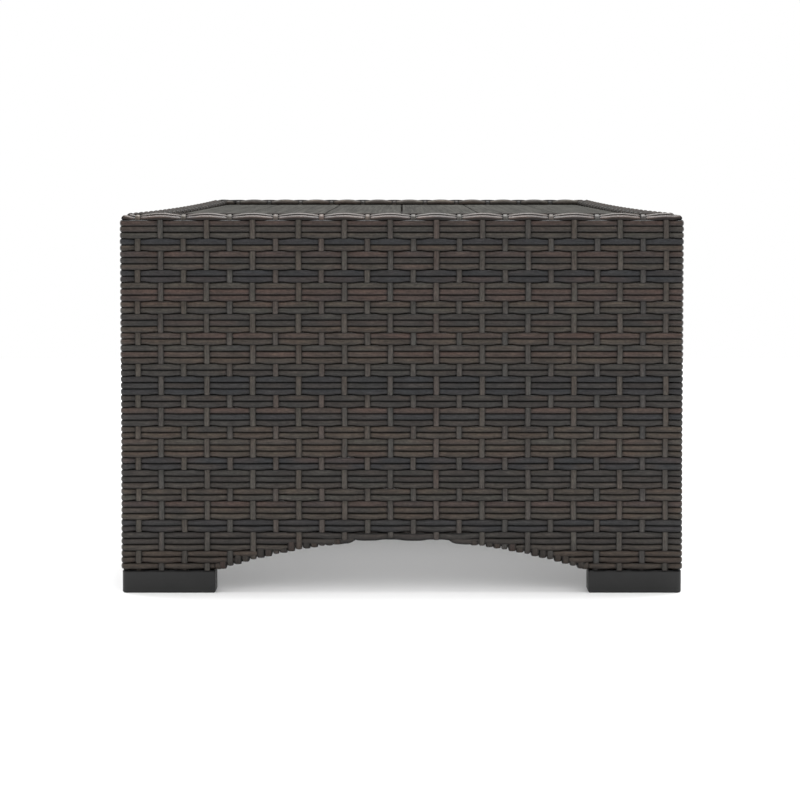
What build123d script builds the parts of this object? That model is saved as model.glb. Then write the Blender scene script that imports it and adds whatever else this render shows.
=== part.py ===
"""Wicker coffee table: a welded tube frame, a woven skin with an arched lower
edge on every side, a woven rim, a top of six lengthwise boards and four
L-shaped corner feet.

Frame of the model: origin on the floor under the middle of the table, +Z up,
X across the short ends, Y along the long sides. The front is the short end at
-Y. Units are millimetres.
"""
from build123d import *
import os

os.makedirs("parts", exist_ok=True)

# ---------------------------------------------------------------- sizes
WIDTH = 615.0          # overall, X
LENGTH = 1165.0        # overall, Y
HEIGHT = 416.0         # floor to the top of the rim

SKIN_T = 6.0           # woven skin, stakes and weavers together
TUBE = 18.0            # width of every frame tube, seen from above
RIM_IN = 3.0           # woven return on the inner face of the top rail
RIM_T = 6.0            # woven layer on top of the top rail
RIM_WIDTH = SKIN_T + TUBE + RIM_IN
CORNER_R = 8.0         # vertical corners of the skin
RIM_OUT_R = 5.0        # outer top edge of the rim
RIM_IN_R = 2.5         # inner top edge of the rim

FOOT_H = 24.5          # height of the feet
FOOT_LEG = 102.0       # length of each leg of the L
FOOT_DEPTH = 30.0      # depth of each leg of the L
FOOT_INSET = 1.0       # feet stand in from the skin by this much

BIND_T = 3.0           # wrapped edge under the bottom rails
RISE = 33.0            # rise of the arch in each lower edge
BOTTOM_RAIL_H = 16.0
BOTTOM_WALL = 1.5

TOP_RAIL_H = 30.0
TOP_WALL = 1.5
POST_WALL = 1.5

BOARD_T = 10.0
BOARD_DROP = 8.0       # top of the boards below the top of the rim
BOARD_PITCH = 99.0     # joint to joint
BOARD_GAP = 2.0
BOARD_CHAMFER = 0.8
BOARD_SIDE_GAP = 1.0   # boards to the woven rim

BEARER_H = 18.0
BEARER_W = 25.0
BEARER_WALL = 1.2
BEARER_Y = (-480.0, -160.0, 160.0, 480.0)

# board screws, from below through the bearers
SCREW_R = 2.0
SCREW_HEAD_R = 4.0
SCREW_HEAD_H = 2.4
SCREW_BITE = 7.0       # depth in the board
SCREW_SPREAD = 25.0    # either side of a board's middle

# foot bolts and the rivet nuts they go into
BOLT_R = 2.5
BOLT_HEAD_R = 4.75
BOLT_HEAD_H = 2.8
BOLT_RECESS_R = 5.5
BOLT_RECESS_DEPTH = 12.0
BOLT_FROM_CORNER = 72.0
NUT_R = 3.5
NUT_FLANGE_R = 5.0
NUT_FLANGE_T = 1.0
NUT_LENGTH = 10.0

# ---------------------------------------------------------------- derived
HX, HY = WIDTH / 2, LENGTH / 2
RAIL_OUT, RAIL_INNER = SKIN_T, SKIN_T + TUBE        # insets of the tube faces
Z_RAIL_TOP = HEIGHT - RIM_T
Z_RAIL_LOW = Z_RAIL_TOP - TOP_RAIL_H
Z_BOARD_TOP = HEIGHT - BOARD_DROP
Z_BOARD_LOW = Z_BOARD_TOP - BOARD_T
Z_BIND = FOOT_H                                      # underside of the binding
Z_EDGE = FOOT_H + BIND_T                             # underside of skin and rails
Z_BEARER_LOW = Z_BOARD_LOW - BEARER_H
SPAN_X = HX - FOOT_INSET - FOOT_LEG - 1.0            # half-span of the end arches
SPAN_Y = HY - FOOT_INSET - FOOT_LEG - 1.0            # half-span of the side arches
SIDES = ("front", "back", "left", "right")


def finish(part, name):
    part.label = name
    export_step(part, f"parts/{name}.step")


def mitred_side(side, d0, d1):
    """Plan of one side of the table between two insets, mitred at both ends."""
    xo, yo, xi, yi = HX - d0, HY - d0, HX - d1, HY - d1
    return {
        "front": [(-xo, -yo), (xo, -yo), (xi, -yi), (-xi, -yi)],
        "back": [(xo, yo), (-xo, yo), (-xi, yi), (xi, yi)],
        "left": [(-xo, yo), (-xo, -yo), (-xi, -yi), (-xi, yi)],
        "right": [(xo, -yo), (xo, yo), (xi, yi), (xi, -yi)],
    }[side]


def side_plane(side, d0, d1):
    """Upright plane of a side; extruding from it by d1 - d0 fills the insets d0 to d1."""
    return {
        "front": Plane.XZ.offset(HY - d1),
        "back": Plane.XZ.offset(-(HY - d0)),
        "left": Plane.YZ.offset(-(HX - d0)),
        "right": Plane.YZ.offset(HX - d1),
    }[side]


def arched_band(plane, span, ends, low, high):
    """Face between the arched lower edge at height low and the same edge at height high."""
    with BuildSketch(plane) as band:
        with BuildLine():
            Line((-ends, low), (-span, low))
            ThreePointArc((-span, low), (0, low + RISE), (span, low))
            Polyline((span, low), (ends, low), (ends, high), (span, high))
            ThreePointArc((span, high), (0, high + RISE), (-span, high))
            Polyline((-span, high), (-ends, high), (-ends, low))
        make_face()
    return band.sketch


def span_of(side):
    return SPAN_X if side in ("front", "back") else SPAN_Y


def half_of(side):
    return HX if side in ("front", "back") else HY


# bolt centres: two under each foot, one in each leg of the L
BOLT_INSET = (RAIL_OUT + RAIL_INNER) / 2
BOLT_POINTS = []
for sx in (-1, 1):
    for sy in (-1, 1):
        BOLT_POINTS.append((sx * (HX - BOLT_FROM_CORNER), sy * (HY - BOLT_INSET)))
        BOLT_POINTS.append((sx * (HX - BOLT_INSET), sy * (HY - BOLT_FROM_CORNER)))


# ---------------------------------------------------------------- feet
for sx, sy, name in (
    (-1, -1, "foot_front_left"),
    (1, -1, "foot_front_right"),
    (-1, 1, "foot_back_left"),
    (1, 1, "foot_back_right"),
):
    cx, cy = HX - FOOT_INSET, HY - FOOT_INSET
    with BuildPart() as foot:
        with BuildSketch(Plane.XY):
            with BuildLine():
                Polyline(
                    (sx * cx, sy * cy),
                    (sx * (cx - FOOT_LEG), sy * cy),
                    (sx * (cx - FOOT_LEG), sy * (cy - FOOT_DEPTH)),
                    (sx * (cx - FOOT_DEPTH), sy * (cy - FOOT_DEPTH)),
                    (sx * (cx - FOOT_DEPTH), sy * (cy - FOOT_LEG)),
                    (sx * cx, sy * (cy - FOOT_LEG)),
                    close=True,
                )
            make_face()
        extrude(amount=FOOT_H)
        uprights = foot.edges().filter_by(Axis.Z)
        outer_corner = uprights.sort_by_distance((sx * cx, sy * cy, FOOT_H / 2))[0]
        fillet([e for e in uprights if e is not outer_corner], 2.0)
        fillet(foot.edges().filter_by(Axis.Z).sort_by_distance((sx * cx, sy * cy, FOOT_H / 2))[0], 6.0)
        chamfer(foot.faces().sort_by(Axis.Z)[-1].outer_wire().edges(), 1.0)
        chamfer(foot.faces().sort_by(Axis.Z)[0].outer_wire().edges(), 1.2)
        mine = [p for p in BOLT_POINTS if p[0] * sx > 0 and p[1] * sy > 0]
        with BuildSketch(Plane.XY):
            with Locations(*mine):
                Circle(BOLT_RECESS_R)
        extrude(amount=BOLT_RECESS_DEPTH, mode=Mode.SUBTRACT)
        with BuildSketch(Plane.XY):
            with Locations(*mine):
                Circle(BOLT_R + 0.25)
        extrude(amount=FOOT_H, mode=Mode.SUBTRACT)
    finish(foot.part, name)

# ---------------------------------------------------------------- foot bolts
with BuildPart() as foot_bolts:
    with BuildSketch(Plane.XY.offset(BOLT_RECESS_DEPTH - BOLT_HEAD_H)):
        with Locations(*BOLT_POINTS):
            Circle(BOLT_HEAD_R)
    extrude(amount=BOLT_HEAD_H)
    chamfer(foot_bolts.faces().group_by(Axis.Z)[0].edges(), 0.7)
    with BuildSketch(Plane.XY.offset(BOLT_RECESS_DEPTH)):
        with Locations(*BOLT_POINTS):
            Circle(BOLT_R)
    extrude(amount=Z_EDGE + NUT_LENGTH + 1.0 - BOLT_RECESS_DEPTH)
    with BuildSketch(Plane.XY.offset(BOLT_RECESS_DEPTH - BOLT_HEAD_H)):
        with Locations(*BOLT_POINTS):
            RegularPolygon(1.7, 6)
    extrude(amount=1.8, mode=Mode.SUBTRACT)
finish(foot_bolts.part, "foot_bolts")

# ---------------------------------------------------------------- rivet nuts
with BuildPart() as foot_rivet_nuts:
    with BuildSketch(Plane.XY.offset(Z_EDGE - NUT_FLANGE_T)):
        with Locations(*BOLT_POINTS):
            Circle(NUT_FLANGE_R)
    extrude(amount=NUT_FLANGE_T)
    with BuildSketch(Plane.XY.offset(Z_EDGE)):
        with Locations(*BOLT_POINTS):
            Circle(NUT_R)
    extrude(amount=NUT_LENGTH)
    with BuildSketch(Plane.XY.offset(Z_EDGE - NUT_FLANGE_T)):
        with Locations(*BOLT_POINTS):
            Circle(BOLT_R + 0.05)
    extrude(amount=NUT_FLANGE_T + NUT_LENGTH, mode=Mode.SUBTRACT)
finish(foot_rivet_nuts.part, "foot_rivet_nuts")

# ---------------------------------------------------------------- bottom edges
for side in SIDES:
    span, half = span_of(side), half_of(side)

    # arched bottom rail: a bent rectangular tube, butted between two posts
    with BuildPart() as bottom_rail:
        extrude(
            arched_band(side_plane(side, RAIL_OUT, RAIL_INNER), span, half - RAIL_INNER,
                        Z_EDGE, Z_EDGE + BOTTOM_RAIL_H),
            amount=TUBE,
        )
        extrude(
            arched_band(side_plane(side, RAIL_OUT + BOTTOM_WALL, RAIL_INNER - BOTTOM_WALL),
                        span, half - RAIL_INNER,
                        Z_EDGE + BOTTOM_WALL, Z_EDGE + BOTTOM_RAIL_H - BOTTOM_WALL),
            amount=TUBE - 2 * BOTTOM_WALL,
            mode=Mode.SUBTRACT,
        )
        with BuildSketch(Plane.XY.offset(Z_EDGE - 1)):
            with Locations(*BOLT_POINTS):
                Circle(NUT_R + 0.05)
        extrude(amount=1 + 2 * BOTTOM_WALL, mode=Mode.SUBTRACT)
    finish(bottom_rail.part, f"bottom_rail_{side}")

    # bound edge: wraps under the rail and the lower end of the skin
    with BuildPart() as edge_binding:
        extrude(
            arched_band(side_plane(side, 0, RIM_WIDTH), span, half, Z_BIND, Z_EDGE),
            amount=RIM_WIDTH,
        )
        with BuildSketch(Plane.XY.offset(Z_BIND - 1)):
            RectangleRounded(WIDTH, LENGTH, CORNER_R)
        extrude(amount=RISE + 10, mode=Mode.INTERSECT)
        with BuildSketch(Plane.XY.offset(Z_BIND - 1)):
            Polygon(*mitred_side(side, -5, RIM_WIDTH + 5), align=None)
        extrude(amount=RISE + 10, mode=Mode.INTERSECT)
        with BuildSketch(Plane.XY.offset(Z_BIND - 1)):
            with Locations(*BOLT_POINTS):
                Circle(NUT_FLANGE_R + 0.3)
        extrude(amount=BIND_T + 2, mode=Mode.SUBTRACT)
    finish(edge_binding.part, f"edge_binding_{side}")

# ---------------------------------------------------------------- woven skins
for side in SIDES:
    span, half = span_of(side), half_of(side)
    with BuildPart() as skin:
        with BuildSketch(Plane.XY.offset(Z_EDGE)):
            RectangleRounded(WIDTH, LENGTH, CORNER_R)
            Rectangle(WIDTH - 2 * SKIN_T, LENGTH - 2 * SKIN_T, mode=Mode.SUBTRACT)
        extrude(amount=Z_RAIL_TOP - Z_EDGE)
        with BuildSketch(Plane.XY.offset(Z_EDGE)):
            Polygon(*mitred_side(side, -5, RIM_WIDTH), align=None)
        extrude(amount=Z_RAIL_TOP - Z_EDGE, mode=Mode.INTERSECT)
        extrude(
            arched_band(side_plane(side, -5, RIM_WIDTH), span, half + 10, Z_EDGE - 60, Z_EDGE),
            amount=RIM_WIDTH + 5,
            mode=Mode.SUBTRACT,
        )
    finish(skin.part, f"woven_skin_{side}")

# ---------------------------------------------------------------- woven rim
for side in SIDES:
    with BuildPart() as rim:
        with BuildSketch(Plane.XY.offset(Z_BOARD_LOW)):
            RectangleRounded(WIDTH, LENGTH, CORNER_R)
            Rectangle(WIDTH - 2 * RIM_WIDTH, LENGTH - 2 * RIM_WIDTH, mode=Mode.SUBTRACT)
        extrude(amount=HEIGHT - Z_BOARD_LOW)
        top = rim.faces().sort_by(Axis.Z)[-1]
        fillet(top.outer_wire().edges(), RIM_OUT_R)
        top = rim.faces().sort_by(Axis.Z)[-1]
        chamfer(top.inner_wires()[0].edges(), RIM_IN_R)
        with BuildSketch(Plane.XY.offset(Z_BOARD_LOW)):
            Rectangle(WIDTH + 10, LENGTH + 10)
            Rectangle(WIDTH - 2 * RAIL_INNER, LENGTH - 2 * RAIL_INNER, mode=Mode.SUBTRACT)
        extrude(amount=Z_RAIL_TOP - Z_BOARD_LOW, mode=Mode.SUBTRACT)
        with BuildSketch(Plane.XY.offset(Z_BOARD_LOW)):
            Polygon(*mitred_side(side, -5, RIM_WIDTH + 5), align=None)
        extrude(amount=HEIGHT - Z_BOARD_LOW, mode=Mode.INTERSECT)
    finish(rim.part, f"woven_rim_{side}")

# ---------------------------------------------------------------- top rails
for side in SIDES:
    with BuildPart() as top_rail:
        with BuildSketch(Plane.XY.offset(Z_RAIL_LOW)):
            Polygon(*mitred_side(side, RAIL_OUT, RAIL_INNER), align=None)
        extrude(amount=TOP_RAIL_H)
        with BuildSketch(Plane.XY.offset(Z_RAIL_LOW + TOP_WALL)):
            Polygon(*mitred_side(side, RAIL_OUT + TOP_WALL, RAIL_INNER - TOP_WALL), align=None)
        extrude(amount=TOP_RAIL_H - 2 * TOP_WALL, mode=Mode.SUBTRACT)
    finish(top_rail.part, f"top_rail_{side}")

# ---------------------------------------------------------------- posts and studs
for sx, sy, name in (
    (-1, -1, "post_front_left"),
    (1, -1, "post_front_right"),
    (-1, 1, "post_back_left"),
    (1, 1, "post_back_right"),
):
    with BuildPart() as post:
        with BuildSketch(Plane.XY.offset(Z_EDGE)):
            with Locations((sx * (HX - BOLT_INSET), sy * (HY - BOLT_INSET))):
                RectangleRounded(TUBE, TUBE, 2.0)
                Rectangle(TUBE - 2 * POST_WALL, TUBE - 2 * POST_WALL, mode=Mode.SUBTRACT)
        extrude(amount=Z_RAIL_LOW - Z_EDGE)
    finish(post.part, name)

for sx, name in ((-1, "stud_left"), (1, "stud_right")):
    with BuildPart() as stud:
        with BuildSketch(Plane.XY.offset(Z_EDGE + RISE + BOTTOM_RAIL_H)):
            with Locations((sx * (HX - BOLT_INSET), 0)):
                RectangleRounded(TUBE, TUBE, 2.0)
                Rectangle(TUBE - 2 * POST_WALL, TUBE - 2 * POST_WALL, mode=Mode.SUBTRACT)
        extrude(amount=Z_RAIL_LOW - (Z_EDGE + RISE + BOTTOM_RAIL_H))
    finish(stud.part, name)

# ---------------------------------------------------------------- top boards
BOARD_EDGE = HX - RIM_WIDTH - BOARD_SIDE_GAP
BOARD_END = HY - RIM_WIDTH - BOARD_SIDE_GAP
BOARDS = []
for sx, hand in ((-1, "left"), (1, "right")):
    for i, place in enumerate(("inner", "middle", "outer")):
        near = i * BOARD_PITCH + BOARD_GAP / 2
        far = (i + 1) * BOARD_PITCH - BOARD_GAP / 2 if i < 2 else BOARD_EDGE
        BOARDS.append((f"top_board_{hand}_{place}", sx * (near + far) / 2, far - near))

SCREW_POINTS = [
    (cx + dx, y)
    for _, cx, _ in BOARDS
    for dx in (-SCREW_SPREAD, SCREW_SPREAD)
    for y in BEARER_Y
]

for name, cx, width in BOARDS:
    with BuildPart() as board:
        with BuildSketch(Plane.XY.offset(Z_BOARD_LOW)):
            with Locations((cx, 0)):
                Rectangle(width, 2 * BOARD_END)
        extrude(amount=BOARD_T)
        chamfer(board.faces().sort_by(Axis.Z)[-1].edges(), BOARD_CHAMFER)
        with BuildSketch(Plane.XY.offset(Z_BOARD_LOW)):
            with Locations(*[p for p in SCREW_POINTS if abs(p[0] - cx) < width / 2]):
                Circle(SCREW_R + 0.05)
        extrude(amount=SCREW_BITE + 0.3, mode=Mode.SUBTRACT)
    finish(board.part, name)

# ---------------------------------------------------------------- bearers
for y, name in zip(BEARER_Y, ("bearer_front", "bearer_mid_front", "bearer_mid_back", "bearer_back")):
    with BuildPart() as bearer:
        with BuildSketch(Plane.YZ.offset(-(HX - RAIL_INNER))):
            with Locations((y, Z_BEARER_LOW + BEARER_H / 2)):
                RectangleRounded(BEARER_W, BEARER_H, 1.5)
                Rectangle(BEARER_W - 2 * BEARER_WALL, BEARER_H - 2 * BEARER_WALL, mode=Mode.SUBTRACT)
        extrude(amount=2 * (HX - RAIL_INNER))
        with BuildSketch(Plane.XY.offset(Z_BEARER_LOW - 1)):
            with Locations(*[p for p in SCREW_POINTS if p[1] == y]):
                Circle(SCREW_R + 0.2)
        extrude(amount=BEARER_H + 2, mode=Mode.SUBTRACT)
    finish(bearer.part, name)

# ---------------------------------------------------------------- board screws
with BuildPart() as board_screws:
    with BuildSketch(Plane.XY.offset(Z_BEARER_LOW - SCREW_HEAD_H)):
        with Locations(*SCREW_POINTS):
            Circle(SCREW_HEAD_R)
    extrude(amount=SCREW_HEAD_H)
    chamfer(board_screws.faces().group_by(Axis.Z)[0].edges(), 0.8)
    with BuildSketch(Plane.XY.offset(Z_BEARER_LOW)):
        with Locations(*SCREW_POINTS):
            Circle(SCREW_R)
    extrude(amount=BEARER_H + SCREW_BITE)
    with BuildSketch(Plane.XY.offset(Z_BEARER_LOW - SCREW_HEAD_H)):
        with Locations(*SCREW_POINTS):
            Rectangle(3.6, 0.9)
            Rectangle(0.9, 3.6)
    extrude(amount=1.2, mode=Mode.SUBTRACT)
finish(board_screws.part, "board_screws")

print("nodes written:", len(os.listdir("parts")))
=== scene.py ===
"""Looks of the wicker coffee table: every strand of the weave as its own swept
strip, the brushed boards, satin feet and coated tubes. Metres, +Z up, X across
the short ends, Y along the long sides, front end at -Y."""
import math

import bpy
import numpy as np
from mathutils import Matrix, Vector

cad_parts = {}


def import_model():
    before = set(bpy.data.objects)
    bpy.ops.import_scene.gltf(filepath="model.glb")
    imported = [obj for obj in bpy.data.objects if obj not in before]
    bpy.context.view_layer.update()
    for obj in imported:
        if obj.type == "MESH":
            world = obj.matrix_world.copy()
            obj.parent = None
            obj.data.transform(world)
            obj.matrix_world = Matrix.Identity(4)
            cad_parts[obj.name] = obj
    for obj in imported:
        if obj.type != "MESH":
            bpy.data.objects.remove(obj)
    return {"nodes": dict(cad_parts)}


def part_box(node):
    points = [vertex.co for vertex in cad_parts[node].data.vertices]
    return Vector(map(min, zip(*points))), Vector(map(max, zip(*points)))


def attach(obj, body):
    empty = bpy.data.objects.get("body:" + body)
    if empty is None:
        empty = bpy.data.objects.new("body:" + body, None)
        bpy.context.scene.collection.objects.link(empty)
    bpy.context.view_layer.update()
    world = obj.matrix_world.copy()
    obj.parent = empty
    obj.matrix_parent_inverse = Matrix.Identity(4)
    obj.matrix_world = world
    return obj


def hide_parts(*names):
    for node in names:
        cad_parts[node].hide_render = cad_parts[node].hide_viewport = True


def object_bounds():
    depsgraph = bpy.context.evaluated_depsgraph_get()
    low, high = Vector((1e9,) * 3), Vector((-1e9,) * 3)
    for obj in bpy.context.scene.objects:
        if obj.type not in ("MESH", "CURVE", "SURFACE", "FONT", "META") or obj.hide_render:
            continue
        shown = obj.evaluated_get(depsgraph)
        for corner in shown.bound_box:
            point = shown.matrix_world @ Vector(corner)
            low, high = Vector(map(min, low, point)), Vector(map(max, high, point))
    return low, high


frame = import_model()
cad_low, cad_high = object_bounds()
nodes = frame["nodes"]
rng = np.random.RandomState(11)

# ------------------------------------------------------------------ frame sizes
HX, HY, TOP = cad_high.x, cad_high.y, cad_high.z
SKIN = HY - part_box("top_rail_front")[0].y * -1          # 6 mm, skin over the tubes
RIM_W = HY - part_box("woven_rim_front")[1].y * -1        # 27 mm, width of the rim
RAIL_IN = RIM_W - 0.003                                 # inner face of the tubes
BOARD_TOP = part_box("top_board_left_inner")[1].z
BOARD_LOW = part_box("top_board_left_inner")[0].z
FOOT_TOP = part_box("foot_front_left")[1].z
SPAN = {
    "x": -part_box("foot_front_left")[1].x - 0.001,
    "y": -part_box("foot_front_left")[1].y - 0.001,
}
RISE = 0.033
RAIL_H = 0.016

STAKES_X, STAKES_Y = 24, 46
PITCH_X = 0.02506
PITCH_Y = (2 * HY - 2 * (HX - (STAKES_X - 1) / 2 * PITCH_X)) / (STAKES_Y - 1)
ROW = 0.006842          # weaver to weaver
ROWS = 56
ROW_TOP = 0.4089        # upper edge of the first full row
MID = 0.0026            # middle of the fabric, behind its outer face
AMP_W, AMP_S = 0.00098, 0.00090

SIDES = {
    "front": dict(o=(0, -HY), u=(1, 0), d=(0, 1), half=HX, n=STAKES_X, p=PITCH_X, span=SPAN["x"]),
    "right": dict(o=(HX, 0), u=(0, 1), d=(-1, 0), half=HY, n=STAKES_Y, p=PITCH_Y, span=SPAN["y"]),
    "back": dict(o=(0, HY), u=(-1, 0), d=(0, -1), half=HX, n=STAKES_X, p=PITCH_X, span=SPAN["x"]),
    "left": dict(o=(-HX, 0), u=(0, -1), d=(1, 0), half=HY, n=STAKES_Y, p=PITCH_Y, span=SPAN["y"]),
}


def edge_z(side, x):
    """Height of the arched lower edge."""
    a = SIDES[side]["span"]
    r = (a * a + RISE * RISE) / (2 * RISE)
    x = np.asarray(x, float)
    inside = np.abs(x) < a
    return FOOT_TOP + np.where(inside, np.sqrt(np.maximum(r * r - np.minimum(np.abs(x), a) ** 2, 0)) - (r - RISE), 0)


def edge_slope(side, x):
    a = SIDES[side]["span"]
    r = (a * a + RISE * RISE) / (2 * RISE)
    return math.asin(max(-1, min(1, -x / r))) if abs(x) < a else 0.0


def chord(side, z):
    """Half-width of the arch at height z, or 0 above it."""
    a = SIDES[side]["span"]
    r = (a * a + RISE * RISE) / (2 * RISE)
    h = z - FOOT_TOP
    if h >= RISE:
        return 0.0
    if h <= 0:
        return a
    return math.sqrt(r * r - (r - RISE + h) ** 2)


def world(side, x, depth, z):
    s = SIDES[side]
    x, depth, z = np.broadcast_arrays(np.asarray(x, float), np.asarray(depth, float), np.asarray(z, float))
    return np.stack([
        s["o"][0] + s["u"][0] * x + s["d"][0] * depth,
        s["o"][1] + s["u"][1] * x + s["d"][1] * depth,
        z,
    ], -1)


def direction(side, x, depth, z):
    s = SIDES[side]
    x, depth, z = np.broadcast_arrays(np.asarray(x, float), np.asarray(depth, float), np.asarray(z, float))
    return np.stack([
        s["u"][0] * x + s["d"][0] * depth,
        s["u"][1] * x + s["d"][1] * depth,
        z,
    ], -1)


# ------------------------------------------------------------------ strands
# Sections run from one edge over the outer face to the other edge, then back inside.
WEAVER = np.array([(-1.0, -0.55), (-0.95, -0.08), (-0.80, 0.42), (-0.48, 0.84), (0.0, 1.0),
                   (0.48, 0.84), (0.80, 0.42), (0.95, -0.08), (1.0, -0.55), (0.97, -1.66), (-0.97, -1.66)])
STAKE = np.array([(-1.0, -0.35), (-0.90, 0.45), (-0.55, 0.88), (0.0, 1.0), (0.55, 0.88),
                  (0.90, 0.45), (1.0, -0.35), (0.76, -1.0), (-0.76, -1.0)])


def unit(a):
    return a / np.maximum(np.linalg.norm(a, axis=-1, keepdims=True), 1e-12)


class Weave:
    """Collects strands and writes them as one mesh."""

    def __init__(self):
        self.co, self.quads, self.caps, self.strand, self.tint = [], [], [], [], []
        self.count = 0

    def add(self, path, normal, width, thick, section, tint, seed, tangent=None, shift=0.0, soil=1.0):
        path = np.asarray(path, float)
        n, k = len(path), len(section)
        if n < 2:
            return
        t = unit(np.gradient(path, axis=0)) if tangent is None else tangent
        nrm = unit(normal - t * np.sum(normal * t, -1, keepdims=True))
        wide = unit(np.cross(t, nrm))
        width = np.broadcast_to(np.asarray(width, float), (n,))
        thick = np.broadcast_to(np.asarray(thick, float), (n,))
        ring = (path[:, None, :]
                + wide[:, None, :] * (section[None, :, 0, None] * width[:, None, None] / 2)
                + nrm[:, None, :] * (section[None, :, 1, None] * thick[:, None, None] / 2))
        self.co.append(ring.reshape(-1, 3))
        i = np.arange(n - 1)[:, None] * k
        a = np.arange(k)[None, :]
        b = (a + 1) % k
        q = np.stack([i + a, i + b, i + k + b, i + k + a], -1).reshape(-1, 4) + self.count
        self.quads.append(q)
        first = np.arange(k) + self.count
        last = np.arange(k)[::-1] + self.count + (n - 1) * k
        self.caps.extend([first, last])
        run = np.concatenate([[0], np.cumsum(np.linalg.norm(np.diff(path, axis=0), axis=1))]) + shift
        data = np.zeros((n, k, 3))
        data[..., 0] = run[:, None]
        data[..., 1] = section[None, :, 0] * width[:, None] / 2
        data[..., 2] = seed
        self.strand.append(data.reshape(-1, 3))
        # the alpha of the tint holds how strong the painted groove shade is
        colour = np.full((n, k, 4), soil)
        colour[..., :3] = np.asarray(tint, float).reshape((-1, 1, 3)) if np.ndim(tint) == 2 else np.asarray(tint, float)
        self.tint.append(colour.reshape(-1, 4))
        self.count += n * k

    def mesh(self, name, material):
        co = np.concatenate(self.co)
        quads = np.concatenate(self.quads)
        caps = self.caps
        me = bpy.data.meshes.new(name)
        me.vertices.add(len(co))
        me.vertices.foreach_set("co", co.astype(np.float32).ravel())
        cap_sizes = np.array([len(c) for c in caps], np.int64)
        loops = np.concatenate([quads.ravel(), np.concatenate(caps)]).astype(np.int32)
        starts = np.concatenate([
            np.arange(len(quads)) * 4,
            len(quads) * 4 + np.concatenate([[0], np.cumsum(cap_sizes)[:-1]]),
        ]).astype(np.int32)
        me.loops.add(len(loops))
        me.loops.foreach_set("vertex_index", loops)
        me.polygons.add(len(starts))
        me.polygons.foreach_set("loop_start", starts)
        smooth = np.ones(len(starts), bool)
        smooth[len(quads):] = False
        me.polygons.foreach_set("use_smooth", smooth)
        me.update(calc_edges=True)
        at = me.attributes.new("strand", "FLOAT_VECTOR", "POINT")
        at.data.foreach_set("vector", np.concatenate(self.strand).astype(np.float32).ravel())
        at = me.attributes.new("tint", "FLOAT_COLOR", "POINT")
        at.data.foreach_set("color", np.concatenate(self.tint).astype(np.float32).ravel())
        me.materials.append(material)
        ob = bpy.data.objects.new(name, me)
        bpy.context.scene.collection.objects.link(ob)
        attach(ob, "root")
        return ob


# ------------------------------------------------------------------ colours
def linear(rgb, gain=1.0):
    c = np.asarray(rgb, float) / 255
    return np.where(c <= 0.04045, c / 12.92, ((c + 0.055) / 1.055) ** 2.4) * gain


GAIN = np.array((0.752, 0.778, 0.790))
RED, GREY, BROWN = linear((71, 58, 53), GAIN), linear((64, 60, 55), GAIN), linear((67, 59, 52), GAIN)
COAL, INK, DARK = linear((51, 48, 46), GAIN), linear((45, 45, 47), GAIN), linear((59, 55, 51), GAIN)
ROW_TINTS = [
    RED, DARK, GREY, INK, BROWN,
    RED, COAL, GREY, INK, INK,
    GREY, RED, RED, BROWN, GREY,
    COAL, COAL, BROWN, RED, BROWN,
    GREY, RED, BROWN, DARK, COAL,
    INK, COAL, INK, COAL, COAL,
    RED, INK, COAL, BROWN, BROWN,
    GREY, BROWN, BROWN, INK, INK,
    COAL, COAL, DARK, BROWN, GREY,
    RED, BROWN, BROWN, INK, INK,
    COAL, COAL, GREY, BROWN, BROWN,
    BROWN,
]
RIM_TINTS = [(RED * 2 + BROWN) / 3, (RED + GREY) / 2, BROWN, DARK, GREY, DARK]
STAKE_TINTS = [linear((72, 67, 62), GAIN), linear((67, 64, 61), GAIN), linear((73, 66, 62), GAIN),
               linear((70, 65, 59), GAIN), linear((65, 62, 60), GAIN)]


def varied(tint, run, seed, amount=0.34):
    """A strand's colour along its length: slow shifts towards its neighbours in the palette."""
    r = np.random.RandomState(seed)
    other = [RED, GREY, BROWN, COAL, DARK, INK][r.randint(6)]
    w = np.zeros(len(run))
    for _ in range(4):
        w += np.sin(run * 2 * math.pi / r.uniform(0.04, 0.22) + r.uniform(0, 6.28)) * r.uniform(0.3, 0.6)
    w = np.clip(w * 0.6 + 0.38, 0, 1)[:, None] * amount * 2
    light = (1 + 0.08 * np.sin(run * 2 * math.pi / r.uniform(0.05, 0.12) + r.uniform(0, 6.28))[:, None]
             + 0.06 * np.sin(run * 2 * math.pi / r.uniform(0.02, 0.04) + r.uniform(0, 6.28))[:, None])
    return (tint * (1 - w) + other * w) * light


# ------------------------------------------------------------------ rows of weavers
def over(kind, phase, flat=2.0):
    """+1 where a row lies over a stake, -1 where it dives under one."""
    c = np.cos(math.pi * phase)
    c = c if kind == "A" else -c
    return np.tanh(flat * c) / math.tanh(flat)


def run_samples(side, inset, r, skip, per):
    """x, depth, plan angle of the normal and stake phase, corner middle to corner middle."""
    s = SIDES[side]
    half, n, p = s["half"], s["n"], s["p"]
    last = ((n - 1) / 2 - skip) * p
    flat = half - inset - r
    steps = int(round((n - 1 - 2 * skip) * per))
    ph = np.linspace(skip, n - 1 - skip, steps + 1)
    xs = (ph - (n - 1) / 2) * p
    lead = max(2, int(math.ceil((flat - last) / 0.0036)))
    x1 = np.linspace(last, flat, lead + 1)[1:]
    ang = np.linspace(0, math.pi / 4, 5)[1:]
    x2 = flat + r * np.sin(ang)
    d2 = inset + r - r * np.cos(ang)
    run = np.concatenate([x1 - last, (flat - last) + r * ang])
    phase_end = 0.5 * run / run[-1]
    x = np.concatenate([-x2[::-1], -x1[::-1], xs, x1, x2])
    depth = np.concatenate([d2[::-1], np.full(lead, inset), np.full(len(xs), inset), np.full(lead, inset), d2])
    a = np.concatenate([-ang[::-1], np.zeros(2 * lead + len(xs)), ang])
    phase = np.concatenate([skip - phase_end[::-1], ph, n - 1 - skip + phase_end])
    return x, depth, a, phase


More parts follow.
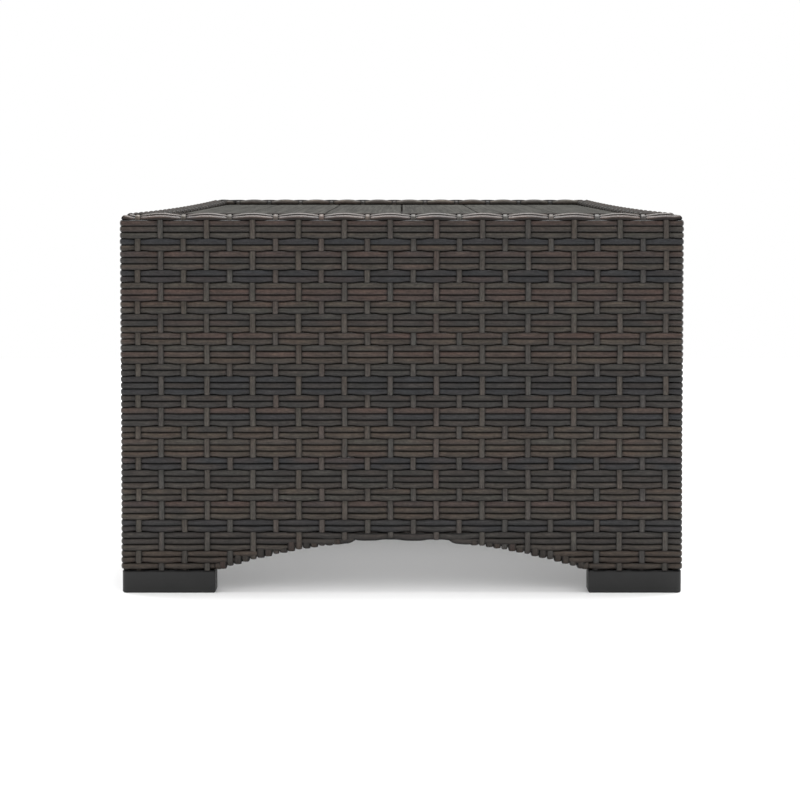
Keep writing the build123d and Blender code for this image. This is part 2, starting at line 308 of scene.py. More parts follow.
def row_frames(side, x, depth, a, z, beta, d, spread):
    """Path and normals of a row. beta tilts the normal from outwards (0) to up (90 degrees)."""
    nx, nd = np.sin(a), -np.cos(a)
    n = direction(side, nx * math.cos(beta), nd * math.cos(beta), math.sin(beta))
    up = direction(side, -nx * math.sin(beta), -nd * math.sin(beta), math.cos(beta))
    p = world(side, x, depth, z) + n * d[:, None] + up * spread[:, None]
    t = direction(side, np.cos(a), np.sin(a), 0.0)
    return p, n, t


ROW_W, ROW_T = 0.00705, 0.0028
SWELL = 0.00012        # outer rows of a bundle swell outwards where they lie over a stake


def corner_level(side, x, s):
    """Every row lies at the front where it turns the corner."""
    f = np.clip((np.abs(x) - (SIDES[side]["half"] - 0.014)) / 0.009, 0, 1)
    f = f * f * (3 - 2 * f)
    return s * (1 - f) + 1.7 * f


def dive_shade(kind, phase, low=0.42, near=0.13, far=0.25):
    """Painted shade: strands are darkened where they dive beside a stake."""
    first = 1.0 if kind == "A" else 0.0
    gap = np.abs((phase - first + 1) % 2 - 1)
    f = np.clip((far - gap) / (far - near), 0, 1)
    return (1 - (1 - low) * f)[:, None]


row_jitter = [dict(w=rng.uniform(0.99, 1.02), t=rng.uniform(0.94, 1.05), seed=rng.randint(1 << 30),
                   lam=rng.uniform(0.12, 0.4), ph=rng.uniform(0, 6.28), wob=rng.uniform(0.00004, 0.00012))
              for _ in range(ROWS + 6)]


def wobble(side, x, jit):
    half = SIDES[side]["half"]
    return jit["wob"] * np.sin(x * 2 * math.pi / jit["lam"] + jit["ph"]) * (1 - np.clip(np.abs(x) / (half - 0.012), 0, 1) ** 6)


def face_row(weave, side, j):
    jit = row_jitter[j]
    kind = "A" if j % 5 < 3 else "B"
    v = {0: 1, 1: 0, 2: -1, 3: 1, 4: -1}[j % 5]
    if j == ROWS - 1:
        v = 0
    z0 = ROW_TOP - ROW * (j + 0.5)
    per = 8 if side in ("front", "back") else 6
    x, depth, a, phase = run_samples(side, MID, 0.0044, 0, per)
    seed = (jit["seed"] + hash_side(side)) % 9973
    half_gap = chord(side, z0 - (0.0008 if j == LAST_ROW + 1 else 0.0042))
    spans = [(-1e9, 1e9)]
    if half_gap > 0:
        spans = [(-1e9, -half_gap), (half_gap, 1e9)]
    for lo, hi in spans:
        keep = (x >= lo) & (x <= hi)
        xx, dd, aa, pp = x[keep], depth[keep], a[keep], phase[keep]
        if hi < 1e8:
            xe = np.array([hi])
            xx, dd, aa = np.append(xx, xe), np.append(dd, MID), np.append(aa, 0.0)
            pp = np.append(pp, np.interp(xe, x, phase))
            tail = np.clip((xx - (hi - 0.012)) / 0.012, 0, 1)
        elif lo > -1e8:
            xe = np.array([lo])
            xx, dd, aa = np.append(xe, xx), np.append(MID, dd), np.append(0.0, aa)
            pp = np.append(np.interp(xe, x, phase), pp)
            tail = np.clip(((lo + 0.012) - xx) / 0.012, 0, 1)
        else:
            tail = np.zeros(len(xx))
        s = over(kind, pp)
        tail = tail * tail * (3 - 2 * tail)
        d = AMP_W * corner_level(side, xx, s) * (1 - tail) - 0.0012 * tail
        swell = 0.0 if j == 0 else SWELL
        z = z0 + v * swell * s * (1 - tail) + wobble(side, xx, jit) - (0.0003 if j == 0 else 0.0)
        if half_gap > 0:
            z = np.maximum(z, edge_z(side, xx) + 0.0026)
        if j == LAST_ROW + 1:                  # its ends slide up behind the row above
            z = z + 0.0036 * tail
        crown = np.zeros(len(xx))
        if j == LAST_ROW:                      # the last full row is pulled down over the rail
            crown = np.clip((CROWN[side] + 0.045 - np.abs(xx)) / 0.045, 0, 1)
            crown = crown * crown * (3 - 2 * crown)
            z = z - crown * (0.0015 + 0.0005 * s)
        p, n, t = row_frames(side, xx, dd, aa, z, 0.0, d, np.zeros(len(xx)))
        run = xx + SIDES[side]["half"]
        # the first row gets stronger painted shade in the grooves along its edges
        weave.add(p, n, (ROW_W * jit["w"] + 2 * abs(v) * SWELL * s + 0.0012 * crown) * (1 - 0.18 * tail), ROW_T * jit["t"], WEAVER,
                  varied(ROW_TINTS[j], run + 1.7 * hash_side(side), jit["seed"] % 99991, 0.24)
                  * dive_shade(kind, pp, 0.5) * (0.85 if j == 0 else 1.0) * low_tone(j), seed * 0.37, soil=1.9 if j == 0 else 1.0)


def low_tone(j):
    """The lowest rows are darker and a little redder."""
    f = float(np.interp(j, [42, 48, 51, 55], [1.0, 0.85, 0.74, 0.68]))
    red = float(np.interp(j, [48, 53], [0.0, 1.0]))
    return np.array((f, f * (1 - 0.05 * red), f * (1 - 0.07 * red)))


LAST_ROW = 50                                  # lowest row that runs right across
CROWN = {"front": 0.058, "back": 0.058, "left": 0.136, "right": 0.136}


def hash_side(side):
    return {"front": 0, "right": 3, "back": 5, "left": 8}[side]


def rim_drop(side, x):
    """The rim along the long sides sags a little between the corners."""
    x = np.asarray(x, float)
    if side in ("front", "back"):
        return np.zeros_like(x)
    return 0.0024 * (1 - np.clip(np.abs(x) / SIDES[side]["half"], 0, 1) ** 2)


IN_C, IN_R = (RIM_W - 0.0050, TOP - 0.0055), 0.0028
# rim rows: (inset of the middle, height, normal tilt, corner radius, stakes skipped, kind, width)
RIM_ROWS = [
    (0.0042, TOP - 0.0049, math.radians(48), 0.0046, 0, "B", 0.0060),
    (0.0096, TOP - 0.0021, math.radians(76), 0.0046, 0, "B", 0.0058),
    (0.0149, TOP - 0.0022, math.pi / 2, 0.0040, 0, "A", 0.0058),
    (0.0197, TOP - 0.0022, math.pi / 2, 0.0036, 1, "A", 0.0054),
]
for deg in (112, 162):
    b = math.radians(deg)
    RIM_ROWS.append((IN_C[0] - IN_R * math.cos(b), IN_C[1] + IN_R * math.sin(b), b, 0.0030, 1, "B", 0.0058))
# painted light and shade: each rim row is lightened or darkened per side to stand in for how the light falls on it
RIM_PAINTED_LIGHT = {"front": (1.10, 1.15, 0.55, 0.55, 0.55, 0.50), "back": (0.45, 0.40, 0.36, 0.36, 1.60, 0.85),
             "left": (0.70, 0.54, 0.46, 0.46, 0.52, 0.52), "right": (0.74, 0.58, 0.48, 0.48, 0.52, 0.52)}


def corner_drop(side, x):
    """The top edge rounds down at the four corners."""
    f = np.clip((np.abs(x) - (SIDES[side]["half"] - 0.018)) / 0.014, 0, 1)
    return 0.0008 * f * f * (3 - 2 * f)


def rim_row(weave, side, i):
    inset, z, beta, r, skip, kind, width = RIM_ROWS[i]
    jit = row_jitter[ROWS + i]
    per = 16 if side in ("front", "back") else 12
    x, depth, a, phase = run_samples(side, inset, r, skip, per)
    s = over(kind, phase, 0.9)
    first = 1.0 if kind == "A" else 0.0
    gap = np.abs((phase - first + 1) % 2 - 1)
    dip = np.clip((0.185 - gap) / 0.045, 0, 1) * (0.0009 if i < 2 else 0.0004)
    d = AMP_W * (1.0 if i < 2 else 0.8) * (corner_level(side, x, s) if i == 0 else s) - dip
    low_by = rim_drop(side, x) * (0.35 if i == 0 else 1.0) + corner_drop(side, x) * (0.35, 1.0, 0.9, 0.3, 0.1, 0.0)[i]
    p, n, t = row_frames(side, x, depth, a, z - low_by, beta, d, wobble(side, x, jit))
    tint = varied(RIM_TINTS[i], x + 1.7 * hash_side(side), jit["seed"] % 99991, 0.24) * RIM_PAINTED_LIGHT[side][i]
    weave.add(p, n, width * jit["w"], ROW_T * jit["t"], WEAVER, tint * dive_shade(kind, phase, 0.06, 0.150, 0.185),
              (jit["seed"] % 9973) * 0.37, soil=1.0)


# ------------------------------------------------------------------ stakes
def stake_level(parity, t_sections, t):
    """+1 where the stake shows, -1 where the rows cover it; t_sections is a list of (t_end, kind)."""
    ends = np.array([e for e, _ in t_sections])
    signs = np.array([(1.0 if (kind == "B") == (parity == 0) else -1.0) for _, kind in t_sections])
    level = np.full(len(t), signs[0])
    for e, s0, s1 in zip(ends[:-1], signs[:-1], signs[1:]):
        f = np.clip((t - (e - 0.0030)) / 0.0060, 0, 1)
        f = f * f * (3 - 2 * f)
        level = level + (s1 - s0) * f
    return level


BEND_C, BEND_R = (0.0100, TOP - 0.0100), 0.0100 - MID


def stake_path(side, k):
    """Middle line of a stake in (depth, z), its normals and its level."""
    s = SIDES[side]
    x = (k - (s["n"] - 1) / 2) * s["p"]
    corner = k in (0, s["n"] - 1)
    bottom = float(edge_z(side, x)) + float(np.interp(abs(x), [CROWN[side], CROWN[side] * 1.5], [0.0009, -0.0005]))
    arched = abs(x) < s["span"] - 0.002
    pts, nor = [], []
    ms = MID
    z_straight = BEND_C[1]
    if arched:      # the end wraps round the bottom rail
        for dep in np.linspace(RAIL_IN - 0.001, 0.0066, 6):
            pts.append((dep, bottom + 0.0014)); nor.append((0, -1))
        for a in np.radians([67.5, 45, 22.5]):
            pts.append((0.0066 - 0.0036 * math.cos(a), bottom + 0.0050 - 0.0036 * math.sin(a)))
            nor.append((-math.cos(a), -math.sin(a)))
        z_low = bottom + 0.0050
    else:
        z_low = bottom + 0.0006
    t_face0 = len(pts)
    zz = np.linspace(z_low, z_straight, int((z_straight - z_low) / 0.0036) + 1)
    for z in zz:
        pts.append((ms, z)); nor.append((-1, 0))
    for a in np.radians([15, 30, 45, 60, 75, 90]):
        pts.append((BEND_C[0] - BEND_R * math.cos(a), BEND_C[1] + BEND_R * math.sin(a)))
        nor.append((-math.cos(a), math.sin(a)))
    stop = 0.0135 if corner else IN_C[0]
    for dep in np.arange(BEND_C[0] + 0.0025, stop, 0.003):
        pts.append((dep, TOP - MID)); nor.append((0, 1))
    if not corner:
        for a in np.radians([90, 112.5, 135, 157.5, 180]):
            pts.append((IN_C[0] - IN_R * math.cos(a), IN_C[1] + IN_R * math.sin(a)))
            nor.append((-math.cos(a), math.sin(a)))
        for z in np.arange(IN_C[1] - 0.003, BOARD_LOW, -0.003):
            pts.append((IN_C[0] + IN_R + 0.0001, z)); nor.append((1, 0))
    pts, nor = np.array(pts), np.array(nor, float)
    t = np.concatenate([[0], np.cumsum(np.linalg.norm(np.diff(pts, axis=0), axis=1))])
    # groups along the path, from the bottom up
    t_of_z = t[t_face0] - pts[t_face0, 1]
    sections = []
    for g in range(22, -1, -1):            # 23 groups on the face: A0 B0 ... A11
        kind = "A" if g % 2 == 0 else "B"
        top = ROW_TOP - (g // 2) * 5 * ROW - (3 * ROW if kind == "B" else 0)
        if t_of_z + top > 0:
            sections.append((t_of_z + top, kind))
    t_top0 = t[np.argmin(np.abs(pts[:, 0] - BEND_C[0]) + np.abs(pts[:, 1] - (TOP - MID)))]
    sections.append((t_top0 - 0.0002, "B"))
    sections.append((t_top0 + (IN_C[0] - BEND_C[0]), "A"))
    sections.append((1e3, "B"))
    level = stake_level(k % 2, sections, t)
    if arched:
        start = np.clip((t - t[t_face0]) / 0.006, 0, 1)
        level = level * start + 0.55 * (1 - start)
    if corner:
        fade = np.clip((t - (t[-1] - 0.006)) / 0.006, 0, 1)
        level = level * (1 - fade) - 1.2 * fade
    else:
        fade = np.clip((t - (t[-1] - 0.012)) / 0.006, 0, 1)
        level = level * (1 - fade)
    return x, pts, nor, level, t


def add_stake(weave, side, k):
    x, pts, nor, level, t = stake_path(side, k)
    r = np.random.RandomState(1000 * hash_side(side) + k)
    pts = pts + nor * (AMP_S * level)[:, None]
    wob = 0.00022 * np.sin(t * 2 * math.pi / r.uniform(0.08, 0.2) + r.uniform(0, 6.28))
    rise = np.clip((pts[:, 1] - 0.4075) / 0.004, 0, 1)
    p = world(side, x + wob, pts[:, 0], pts[:, 1] - rim_drop(side, x) * rise)
    n = direction(side, 0.0, nor[:, 0], nor[:, 1])
    tint = STAKE_TINTS[r.randint(len(STAKE_TINTS))]
    # painted highlight: on the front the stake is lightened where it turns over the top edge; there it is also drawn
    # narrower
    wear_and_highlight = np.clip((pts[:, 1] - (TOP - 0.0075)) / 0.0030, 0, 1) * np.clip((0.0125 - pts[:, 0]) / 0.0025, 0, 1)
    # painted shade: the stake is darkened on the inner face of the rim above the boards, more at the back
    inner = np.clip((pts[:, 0] - 0.0110) / 0.0030, 0, 1) * np.clip((pts[:, 1] - BOARD_TOP) / 0.004, 0, 1)
    shade = (1 + (0.75 if side == "front" else 0.0) * wear_and_highlight - (0.65 if side == "back" else 0.50) * inner)[:, None]
    shade = shade * np.interp(pts[:, 1], [0.030, 0.085], [0.70, 1.0])[:, None]
    weave.add(p, n, 0.0066 * r.uniform(0.96, 1.03) * (1 - 0.12 * wear_and_highlight), 0.0021, STAKE,
              varied(tint, t, r.randint(1 << 30), 0.12) * shade, r.uniform(0, 3000))


# ------------------------------------------------------------------ wraps on the arched edge
def lowest_row(side, x):
    """Height above the edge of the lower side of the lowest row at x."""
    ez = float(edge_z(side, x))
    best = LAST_ROW
    for j in range(LAST_ROW + 1, ROWS):
        z = ROW_TOP - ROW * (j + 0.5)
        if abs(x) > chord(side, z - (0.0008 if j == LAST_ROW + 1 else 0.0042)):
            best = j
    return ROW_TOP - ROW * (best + 1) - ez


def add_wrap(weave, side, x, high, proud, bottom, seed):
    """One turn of strand round the bottom rail: down the face, under, and up inside."""
    r = np.random.RandomState(seed)
    ez = float(edge_z(side, x))
    face = MID - proud
    pts = [(0.0045, high + 0.0030), (0.0040, high + 0.0012)]
    nor = [(-1, 0.2), (-1, 0.3)]
    legs = np.linspace(max(high - 0.0012, 0.0040), 0.0036, 3) if high > 0.0055 else [0.0037]
    for h in legs:
        pts.append((face, h)); nor.append((-1, 0))
    for a in np.radians([22.5, 45, 67.5, 90]):
        pts.append((face + 0.0028 - 0.0028 * math.cos(a), bottom + 0.0036 - 0.0028 * math.sin(a)))
        nor.append((-math.cos(a), -math.sin(a)))
    for dep in np.linspace(0.0085, 0.0225, 4):
        pts.append((dep, bottom + 0.0008)); nor.append((0, -1))
    for a in np.radians([22.5, 45, 67.5, 90]):
        pts.append((0.0225 + 0.0032 * math.sin(a), bottom + 0.0040 - 0.0032 * math.cos(a)))
        nor.append((math.sin(a), -math.cos(a)))
    for h in np.linspace(0.0075, 0.0175, 4):
        pts.append((0.0257, h)); nor.append((1, 0))
    for a in np.radians([45, 90]):
        pts.append((0.0225 + 0.0032 * math.cos(a), 0.0180 + 0.0030 * math.sin(a)))
        nor.append((math.cos(a), math.sin(a)))
    pts += [(0.0120, 0.0210), (0.0070, 0.0205)]
    nor += [(0, 1), (0, 1)]
    pts, nor = np.array(pts), np.array(nor, float)
    lean = r.uniform(-0.05, 0.05)
    px = x + lean * (pts[:, 1] - 0.004)
    # the slope of the rail is worked out, but the turn is not tilted to follow it
    slope = math.tan(edge_slope(side, x))
    p = world(side, px, pts[:, 0], ez + pts[:, 1] + 0 * slope)
    n = direction(side, 0.0, nor[:, 0], nor[:, 1])
    t = np.concatenate([[0], np.cumsum(np.linalg.norm(np.diff(p, axis=0), axis=1))])
    tint = [RED, GREY, BROWN, DARK, COAL, BROWN][r.randint(6)]
    weave.add(p, n, 0.0084 * r.uniform(0.97, 1.02), 0.0023, STAKE, varied(tint, t, r.randint(1 << 30), 0.15) * np.array((0.55, 0.515, 0.50)),
              r.uniform(0, 3000), soil=0.95)


def edge_wraps(weave, side):
    s = SIDES[side]
    r = np.random.RandomState(77 + hash_side(side))
    step = s["p"] / 3
    n = int(s["span"] / step)
    for i in range(-n - 2, n + 3):
        x = (i + (0 if s["n"] % 2 else 1.5)) * step
        if abs(x) > s["span"] + 0.0045:
            continue
        if abs(x) > s["span"] - 0.0030:         # the last turn is tucked in against the foot
            x = math.copysign(s["span"] - 0.0020, x)
            add_wrap(weave, side, x, 0.0062, 0.0006, 0.0006, r.randint(1 << 30))
            continue
        phase = x / s["p"] + (s["n"] - 1) / 2
        on_stake = abs(phase - round(phase)) < 0.1
        if on_stake:
            continue                        # the stake's own end wraps here
        if abs(x) > CROWN[side]:
            high = lowest_row(side, x) + r.uniform(0.0008, 0.0022)
            add_wrap(weave, side, x, max(high, 0.0034), r.uniform(0.0002, 0.0011), r.uniform(-0.0008, -0.0003),
                     r.randint(1 << 30))
        else:
            add_wrap(weave, side, x, 0.0048, -0.0016, 0.0026, r.randint(1 << 30))


# ------------------------------------------------------------------ materials
def socket(node, *names):
    for name in names:
        if name in node.inputs:
            return node.inputs[name]
    raise KeyError(names)


class Nodes:
    def __init__(self, name):
        self.m = bpy.data.materials.new(name)
        self.m.use_nodes = True
        self.t = self.m.node_tree
        self.t.nodes.clear()
        self.out = self.t.nodes.new("ShaderNodeOutputMaterial")
        self.b = self.t.nodes.new("ShaderNodeBsdfPrincipled")
        self.t.links.new(self.b.outputs[0], self.out.inputs[0])

    def new(self, kind, **props):
        n = self.t.nodes.new("ShaderNode" + kind)
        for k, v in props.items():
            setattr(n, k, v)
        return n

    def link(self, a, b):
        self.t.links.new(a, b)

    def math(self, op, a, b=None, c=None):
        n = self.new("Math", operation=op)
        for i, v in enumerate((a, b, c)):
            if v is None:
                continue
            if isinstance(v, (int, float)):
                n.inputs[i].default_value = v
            else:
                self.link(v, n.inputs[i])
        return n.outputs[0]

    def scaled(self, vector, scale, offset=(0, 0, 0)):
        n = self.new("Mapping")
        n.inputs["Scale"].default_value = scale
        n.inputs["Location"].default_value = offset
        self.link(vector, n.inputs["Vector"])
        return n.outputs[0]

    def noise(self, vector, scale=1.0, detail=2.0, rough=0.5):
        n = self.new("TexNoise")
        n.inputs["Scale"].default_value = scale
        n.inputs["Detail"].default_value = detail
        n.inputs["Roughness"].default_value = rough
        self.link(vector, n.inputs["Vector"])
        return n.outputs[0]

    def ramp(self, value, stops):
        n = self.new("ValToRGB")
        cr = n.color_ramp
        while len(cr.elements) < len(stops):
            cr.elements.new(0.5)
        for e, (pos, col) in zip(cr.elements, stops):
            e.position = pos
            e.color = (*col, 1) if len(col) == 3 else col
        self.link(value, n.inputs[0])
        return n.outputs[0]

    def range(self, value, a, b, c, d):
        n = self.new("MapRange")
        n.inputs[1].default_value, n.inputs[2].default_value = a, b
        n.inputs[3].default_value, n.inputs[4].default_value = c, d
        self.link(value, n.inputs[0])
        return n.outputs[0]

    def mix(self, kind, fac, a, b):
        n = self.new("Mix", data_type="RGBA", blend_type=kind)
        for sock, v in ((n.inputs[0], fac), (n.inputs[6], a), (n.inputs[7], b)):
            if isinstance(v, (int, float)):
                sock.default_value = v
            elif isinstance(v, (tuple, list)):
                sock.default_value = (*v, 1) if len(v) == 3 else v
            else:
                self.link(v, sock)
        return n.outputs[2]

    def bump(self, height, strength, distance, normal=None):
        n = self.new("Bump")
        n.inputs["Strength"].default_value = strength
        n.inputs["Distance"].default_value = distance
        self.link(height, n.inputs["Height"])
        if normal is not None:
            self.link(normal, n.inputs["Normal"])
        return n.outputs[0]


def strand_material(name, grain, rough, edge, flank_shade, shine=0.22):
    m = Nodes(name)
    st = m.new("Attribute", attribute_name="strand").outputs["Vector"]
    tint_node = m.new("Attribute", attribute_name="tint")
    tint = tint_node.outputs["Color"]
    # lengthwise grain: long, thin streaks pressed into the strip
    streak = m.noise(m.scaled(st, (90.0, 1500.0, 1.0)), 1.0, 4.0, 0.6)
    fine = m.noise(m.scaled(st, (420.0, 4200.0, 1.0), (3, 1, 0)), 1.0, 2.0, 0.5)
    mottle = m.noise(m.scaled(st, (260.0, 500.0, 1.0), (0, 7, 2)), 1.0, 3.0, 0.6)
    slow = m.noise(m.scaled(st, (14.0, 60.0, 1.0), (9, 0, 5)), 1.0, 2.0, 0.5)
    light = m.range(streak, 0.30, 0.70, 1 - grain, 1 + grain)
    light2 = m.range(mottle, 0.30, 0.70, 0.69, 1.34)
    light3 = m.range(fine, 0.25, 0.75, 0.90, 1.10)
    total = m.math("MULTIPLY", m.math("MULTIPLY", light, light2), light3)
    # painted shade in the grooves between strands, along both edges of each strip
    xyz = m.new("SeparateXYZ")
    m.link(st, xyz.inputs[0])
    across = m.math("ABSOLUTE", xyz.outputs[1])
    soil = m.range(m.math("ADD", across, m.math("MULTIPLY", mottle, 0.0006)), edge * 0.62, edge * 1.06, 0.0, 0.8)
    kept = m.math("SUBTRACT", 1.0, m.math("MULTIPLY", soil, tint_node.outputs["Alpha"]))
    total = m.math("MULTIPLY", total, m.math("MAXIMUM", kept, 0.04))
    # painted light and shade: the lower side of each strip is darkened and the upper side lightened, as if lit from
    # above
    if flank_shade:
        total = m.math("MULTIPLY", total, m.range(xyz.outputs[1], -0.0012, 0.0027, 1.26, 0.82 if flank_shade == "soft" else 0.56))
    rgb = m.new("CombineColor")
    for i in range(3):
        m.link(total, rgb.inputs[i])
    col = m.mix("MULTIPLY", 1.0, tint, rgb.outputs[0])
    speck = m.noise(m.scaled(st, (150.0, 420.0, 1.0), (5, 2, 8)), 1.0, 3.0, 0.6)
    col = m.mix("MULTIPLY", m.range(speck, 0.52, 0.70, 0.0, 0.7), col, (0.90, 1.0, 0.90))
    warm = m.mix("MULTIPLY", m.range(slow, 0.38, 0.68, 0.0, 0.6), col, (1.15, 0.93, 0.86))
    m.link(warm, m.b.inputs["Base Color"])
    m.link(m.range(streak, 0.25, 0.75, rough + 0.10, rough - 0.08), m.b.inputs["Roughness"])
    h = m.math("ADD", streak, m.math("MULTIPLY", fine, 0.5))
    m.link(m.bump(h, 0.55, 0.00016), m.b.inputs["Normal"])
    m.b.inputs["Specular IOR Level"].default_value = shine
    return m.m


def board_material():
    m = Nodes("plastic_wood")
    co = m.new("TexCoord").outputs["Object"]
    grain = m.noise(m.scaled(co, (420.0, 5.0, 60.0)), 1.0, 6.0, 0.62)
    wide = m.noise(m.scaled(co, (60.0, 1.6, 10.0), (4, 2, 0)), 1.0, 3.0, 0.55)
    per_board = m.noise(m.scaled(co, (10.1, 0.02, 0.0), (0.35, 0, 0)), 1.0, 0.0, 0.5)
    scratch = m.noise(m.scaled(co, (1300.0, 16.0, 200.0), (1, 5, 0)), 1.0, 2.0, 0.5)
    cell = m.noise(m.scaled(co, (28.0, 28.0, 28.0)), 1.0, 4.0, 0.6)
    v = m.math("MULTIPLY", m.range(grain, 0.3, 0.7, 0.46, 1.52), m.range(wide, 0.3, 0.7, 0.82, 1.18))
    v = m.math("MULTIPLY", v, m.range(per_board, 0.3, 0.7, 0.92, 1.08))
    v = m.math("MULTIPLY", v, m.range(scratch, 0.3, 0.7, 0.94, 1.05))
    v = m.math("MULTIPLY", v, m.range(cell, 0.35, 0.7, 0.96, 1.04))
    rgb = m.new("CombineColor")
    for i in range(3):
        m.link(v, rgb.inputs[i])
    col = m.mix("MULTIPLY", 1.0, tuple(linear((60, 59, 55), 0.65)), rgb.outputs[0])
    m.link(col, m.b.inputs["Base Color"])
    m.link(m.range(grain, 0.3, 0.7, 0.86, 0.72), m.b.inputs["Roughness"])
    m.b.inputs["Specular IOR Level"].default_value = 0.06
    h = m.math("ADD", grain, m.math("MULTIPLY", scratch, 0.4))
    m.link(m.bump(h, 0.5, 0.0004), m.b.inputs["Normal"])
    return m.m


def foot_material():
    m = Nodes("moulded_plastic")
    co = m.new("TexCoord").outputs["Object"]
    fine = m.noise(m.scaled(co, (1600.0, 1600.0, 1600.0)), 1.0, 2.0, 0.5)
    cloud = m.noise(m.scaled(co, (30.0, 30.0, 30.0)), 1.0, 3.0, 0.55)
    scuff = m.noise(m.scaled(co, (90.0, 90.0, 400.0), (2, 2, 0)), 1.0, 4.0, 0.7)
    v = m.math("MULTIPLY", m.range(fine, 0.3, 0.7, 0.93, 1.07), m.range(cloud, 0.3, 0.7, 0.90, 1.10))
    z = m.new("SeparateXYZ")
    m.link(co, z.inputs[0])
    wear = m.range(z.outputs[2], 0.0, 0.006, 1.35, 1.0)
    v = m.math("MULTIPLY", v, m.math("ADD", m.math("MULTIPLY", m.math("SUBTRACT", wear, 1.0), scuff), 1.0))
    # painted shadow: a dark line along the top of the foot, just below the wicker
    v = m.math("MULTIPLY", v, m.range(z.outputs[2], 0.0226, 0.0232, 1.0, 0.10))
    rgb = m.new("CombineColor")
    for i in range(3):
        m.link(v, rgb.inputs[i])
    col = m.mix("MULTIPLY", 1.0, tuple(linear((54, 54, 54), 0.36)), rgb.outputs[0])
    m.link(col, m.b.inputs["Base Color"])
    m.link(m.range(scuff, 0.3, 0.75, 0.40, 0.52), m.b.inputs["Roughness"])
    m.b.inputs["Specular IOR Level"].default_value = 0.24
    m.link(m.bump(fine, 0.35, 0.00008), m.b.inputs["Normal"])
    return m.m


def tube_material():
    m = Nodes("powder_coat")
    co = m.new("TexCoord").outputs["Object"]
    peel = m.noise(m.scaled(co, (900.0, 900.0, 900.0)), 1.0, 2.0, 0.5)
    cloud = m.noise(m.scaled(co, (18.0, 18.0, 18.0)), 1.0, 3.0, 0.5)
    v = m.math("MULTIPLY", m.range(peel, 0.3, 0.7, 0.92, 1.08), m.range(cloud, 0.3, 0.7, 0.88, 1.12))
    rgb = m.new("CombineColor")
    for i in range(3):
        m.link(v, rgb.inputs[i])
    col = m.mix("MULTIPLY", 1.0, tuple(linear((58, 51, 46), 1.0)), rgb.outputs[0])
    m.link(col, m.b.inputs["Base Color"])
    m.link(m.range(peel, 0.3, 0.7, 0.42, 0.58), m.b.inputs["Roughness"])
    m.link(m.bump(peel, 0.4, 0.00012), m.b.inputs["Normal"])
    return m.m


def steel_material():
    m = Nodes("zinc_steel")
    co = m.new("TexCoord").outputs["Object"]
    fine = m.noise(m.scaled(co, (2200.0, 2200.0, 2200.0)), 1.0, 3.0, 0.6)
    v = m.range(fine, 0.3, 0.7, 0.86, 1.1)
    rgb = m.new("CombineColor")
    for i in range(3):
        m.link(v, rgb.inputs[i])
    col = m.mix("MULTIPLY", 1.0, (0.56, 0.56, 0.53), rgb.outputs[0])
    m.link(col, m.b.inputs["Base Color"])
    m.link(m.range(fine, 0.3, 0.7, 0.32, 0.48), m.b.inputs["Roughness"])
    m.b.inputs["Metallic"].default_value = 1.0
    m.link(m.bump(fine, 0.2, 0.00005), m.b.inputs["Normal"])
    return m.m


# the fifth argument sets the painted light and shade across each strip: True strong, "soft" weaker, False none
weaver_mat = strand_material("resin_weaver", 0.40, 0.38, 0.0034, True)
edge_mat = strand_material("resin_edge", 0.40, 0.36, 0.0028, "soft")
rim_mat = strand_material("resin_rim", 0.40, 0.72, 0.0030, True, 0.10)
stake_mat = strand_material("resin_stake", 0.36, 0.42, 0.0036, False)
board_mat, foot_mat = board_material(), foot_material()
tube_mat, steel_mat = tube_material(), steel_material()


def paint(node, material):
    o = nodes[node]
    if not o.data.materials:
        o.data.materials.append(material)
    for s in o.material_slots:
        s.material = material


for name, o in nodes.items():
    if name.startswith("top_board"):
        paint(name, board_mat)
        mod = o.modifiers.new("soft_edges", "BEVEL")
        mod.width, mod.segments, mod.limit_method, mod.angle_limit = 0.0005, 2, "ANGLE", math.radians(25)
    elif name in ("board_screws", "foot_bolts", "foot_rivet_nuts"):
        paint(name, steel_mat)
    elif name.startswith("foot_"):
        paint(name, foot_mat)
        mod = o.modifiers.new("soft_edges", "BEVEL")
        mod.width, mod.segments, mod.limit_method, mod.angle_limit = 0.0006, 3, "ANGLE", math.radians(25)
    elif name.startswith(("woven_", "edge_binding")):
        paint(name, weaver_mat)
    else:
        paint(name, tube_mat)

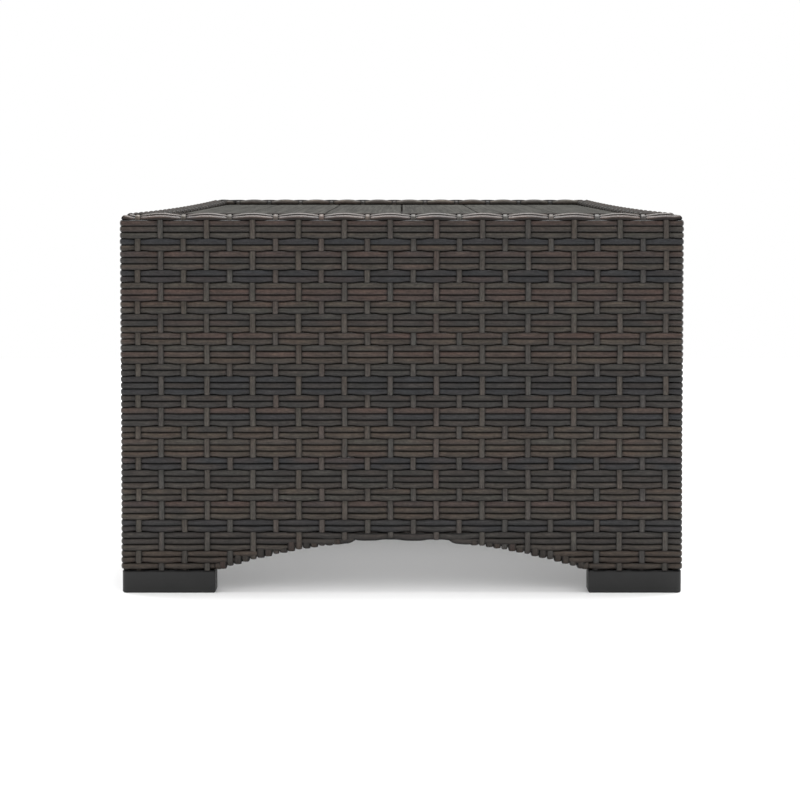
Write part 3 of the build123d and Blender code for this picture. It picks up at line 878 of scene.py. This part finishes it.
# ------------------------------------------------------------------ the weave, side by side
for side, s in SIDES.items():
    parts = 2 if s["n"] == STAKES_X else 3
    bounds_j = np.linspace(0, ROWS, parts + 1).astype(int)
    for i in range(parts):
        w = Weave()
        for j in range(bounds_j[i], bounds_j[i + 1]):
            face_row(w, side, j)
        ob = w.mesh(f"weavers_{side}_{'abc'[i]}", weaver_mat)
        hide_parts(f"woven_skin_{side}")
    w = Weave()
    for k in range(s["n"]):
        add_stake(w, side, k)
    ob = w.mesh(f"stakes_{side}", stake_mat)
    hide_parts(f"woven_skin_{side}", f"woven_rim_{side}")
    for name, rows, mat in (("outer", (0, 1), edge_mat if side == "front" else rim_mat), ("inner", (2, 3, 4, 5), rim_mat)):
        w = Weave()
        for i in rows:
            rim_row(w, side, i)
        ob = w.mesh(f"rim_{name}_{side}", mat)
        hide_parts(f"woven_rim_{side}")
    w = Weave()
    edge_wraps(w, side)
    ob = w.mesh(f"edge_wraps_{side}", stake_mat)
    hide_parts(f"edge_binding_{side}")

# ------------------------------------------------------------------ floor, light, camera
me = bpy.data.meshes.new("floor")
me.from_pydata([(-2.2, -2.4, 0), (2.2, -2.4, 0), (2.2, 2.4, 0), (-2.2, 2.4, 0)], [], [(0, 1, 2, 3)])
floor = bpy.data.objects.new("floor", me)
bpy.context.scene.collection.objects.link(floor)
fm = Nodes("pale_floor")
fm.b.inputs["Base Color"].default_value = (0.86, 0.86, 0.86, 1)
fm.b.inputs["Roughness"].default_value = 0.9
fm.b.inputs["Specular IOR Level"].default_value = 0.1
me.materials.append(fm.m)

sc = bpy.context.scene
sc.view_settings.view_transform = "Standard"
sc.view_settings.look = "None"
world_ = bpy.data.worlds.new("studio")
sc.world = world_
world_.use_nodes = True
bg = world_.node_tree.nodes["Background"]
bg.inputs[0].default_value = (1, 1, 1, 1)
bg.inputs[1].default_value = 1.0


def area(name, loc, aim, size, power):
    l = bpy.data.lights.new(name, "AREA")
    l.shape, l.size, l.size_y, l.energy = "RECTANGLE", size[0], size[1], power
    o = bpy.data.objects.new(name, l)
    o.location = loc
    o.rotation_euler = (Vector(aim) - Vector(loc)).to_track_quat("-Z", "Y").to_euler()
    sc.collection.objects.link(o)
    return o


area("key", (0.1, 0.45, 3.3), (0, 0.3, 0.2), (3.0, 2.6), 210)
area("front_floor", (0, -0.69, 0.10), (0, -0.69, 0), (0.80, 0.12), 0.22)
area("under_front", (0, -0.38, 0.33), (0, -0.40, 0), (0.60, 0.30), 0.73)
area("under_back", (0, 0.38, 0.33), (0, 0.40, 0), (0.46, 0.30), 0.48)

cam = bpy.data.cameras.new("camera")
cam.sensor_width, cam.lens = 36.0, 99.0
cam.shift_x, cam.shift_y = -0.0023, -0.1753
cam.dof.use_dof = False
cam_o = bpy.data.objects.new("camera", cam)
cam_o.location = (0, -2.9763, 0.4616)
cam_o.rotation_euler = (math.radians(90 - 2.3), 0, 0)
sc.collection.objects.link(cam_o)
sc.camera = cam_o

bpy.context.view_layer.update()
